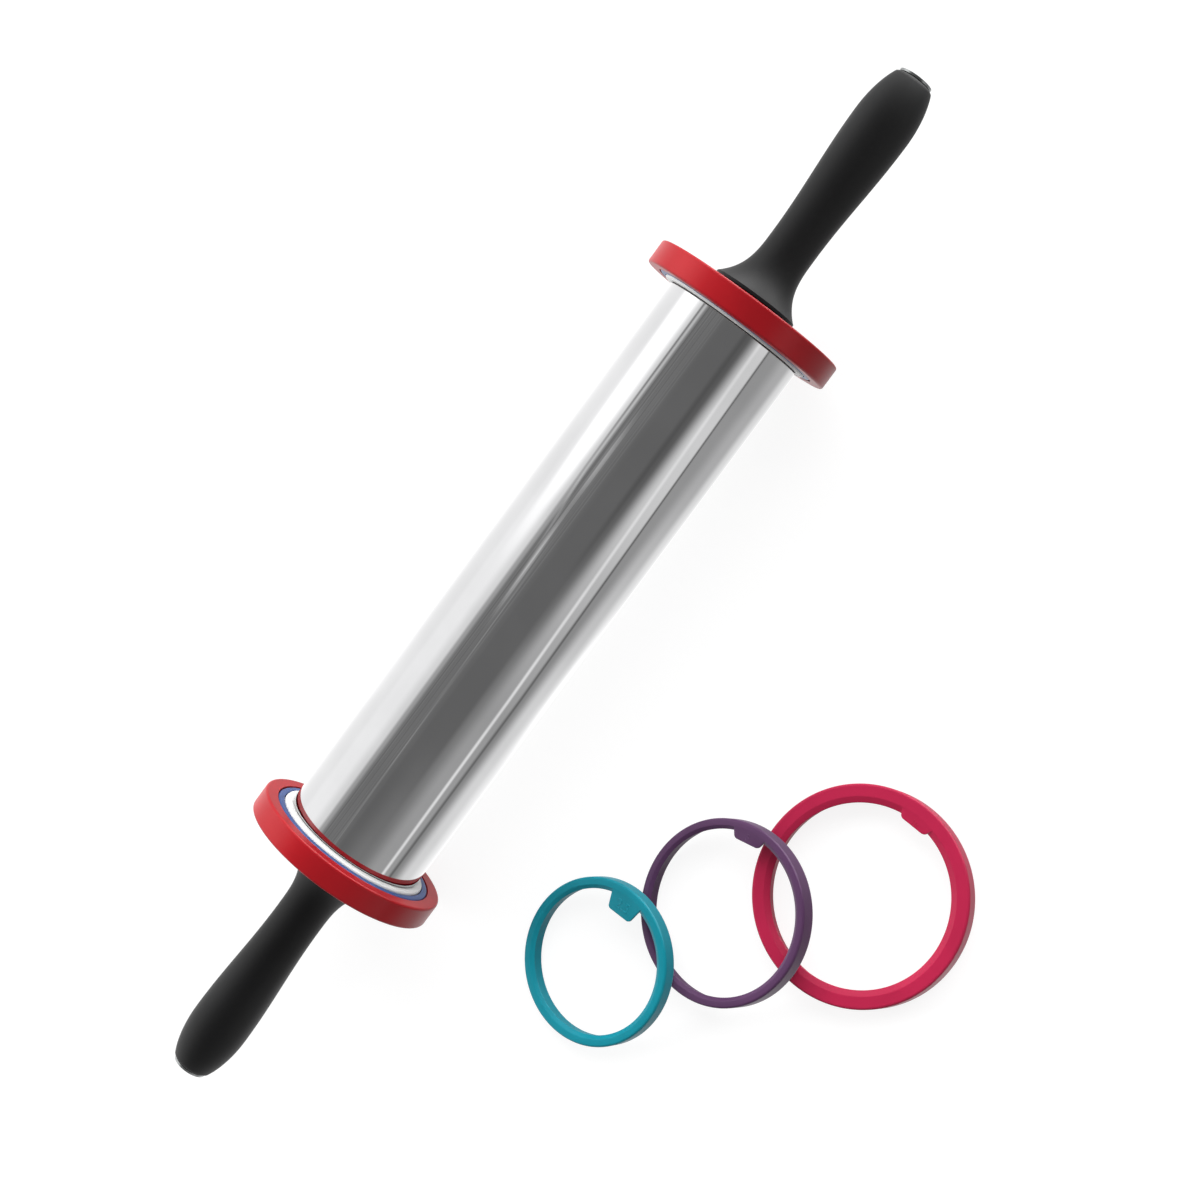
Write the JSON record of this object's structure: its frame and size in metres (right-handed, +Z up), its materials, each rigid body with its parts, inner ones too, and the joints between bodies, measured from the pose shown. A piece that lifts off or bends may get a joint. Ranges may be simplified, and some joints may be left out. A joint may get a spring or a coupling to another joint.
{
  "type": "adjustable rolling pin",
  "caption": "Steel barrel rolling pin with two soft handles, nested thickness rings that push onto both barrel ends, and a loose set of the same rings beside it.",
  "frame": {"origin": "on the table, at the middle of the box round the pin and its loose rings; the middle of the pin is straight behind it, 69.5 mm along +Y", "axes": "+X along the pin's axle towards the picture's upper right handle, +Z up from the table, -Y towards the loose rings and the camera"},
  "size_m": [0.4064, 0.2088, 0.0697],
  "materials": {
    "polished_steel": "mirror-polished stainless steel",
    "plain_steel": "turned steel",
    "nut_steel": "polished dome",
    "dark_plastic": "fine moulded texture",
    "seal_rubber": "plain black rubber",
    "bushing_plastic": "natural acetal",
    "core_plastic": "satin black",
    "soft_grip": "soft-touch matte charcoal",
    "white_plastic": "satin moulded",
    "blue_plastic": "satin moulded",
    "red_plastic": "satin moulded",
    "teal_plastic": "satin moulded",
    "purple_plastic": "satin moulded",
    "crimson_plastic": "satin moulded"
  },
  "bodies": {
    "axle_and_handles": {"axle_rod": "plain_steel", "left_thrust_washer": "plain_steel", "right_thrust_washer": "plain_steel", "left_handle_core": "core_plastic", "right_handle_core": "core_plastic", "left_handle_grip": "soft_grip", "right_handle_grip": "soft_grip", "left_end_nut": "nut_steel", "right_end_nut": "nut_steel", "loose_crimson_ring": "crimson_plastic", "loose_purple_ring": "purple_plastic", "loose_teal_ring": "teal_plastic"},
    "barrel": {"barrel_tube": "polished_steel", "left_end_cap": "dark_plastic", "right_end_cap": "dark_plastic", "left_cap_seal": "seal_rubber", "right_cap_seal": "seal_rubber", "left_bushing": "bushing_plastic", "right_bushing": "bushing_plastic"},
    "left_inner": {"left_inner_ring": "white_plastic"},
    "left_middle": {"left_middle_ring": "blue_plastic"},
    "left_outer": {"left_outer_ring": "red_plastic"},
    "right_inner": {"right_inner_ring": "white_plastic"},
    "right_middle": {"right_middle_ring": "blue_plastic"},
    "right_outer": {"right_outer_ring": "red_plastic"}
  },
  "joints": [
    {"name": "barrel_spin", "type": "hinge", "parent": "axle_and_handles", "child": "barrel", "pos_m": [0, 0.06952, 0.03487], "axis": [1, 0, 0], "continuous": true},
    {"name": "left_inner_ring_pull", "type": "slide", "parent": "barrel", "child": "left_inner", "axis": [-1, 0, 0], "range_m": [0, 0.1]},
    {"name": "left_middle_ring_pull", "type": "slide", "parent": "left_inner", "child": "left_middle", "axis": [-1, 0, 0], "range_m": [0, 0.1]},
    {"name": "left_outer_ring_pull", "type": "slide", "parent": "left_middle", "child": "left_outer", "axis": [-1, 0, 0], "range_m": [0, 0.1]},
    {"name": "right_inner_ring_pull", "type": "slide", "parent": "barrel", "child": "right_inner", "axis": [1, 0, 0], "range_m": [0, 0.1]},
    {"name": "right_middle_ring_pull", "type": "slide", "parent": "right_inner", "child": "right_middle", "axis": [1, 0, 0], "range_m": [0, 0.1]},
    {"name": "right_outer_ring_pull", "type": "slide", "parent": "right_middle", "child": "right_outer", "axis": [1, 0, 0], "range_m": [0, 0.1]}
  ]
}
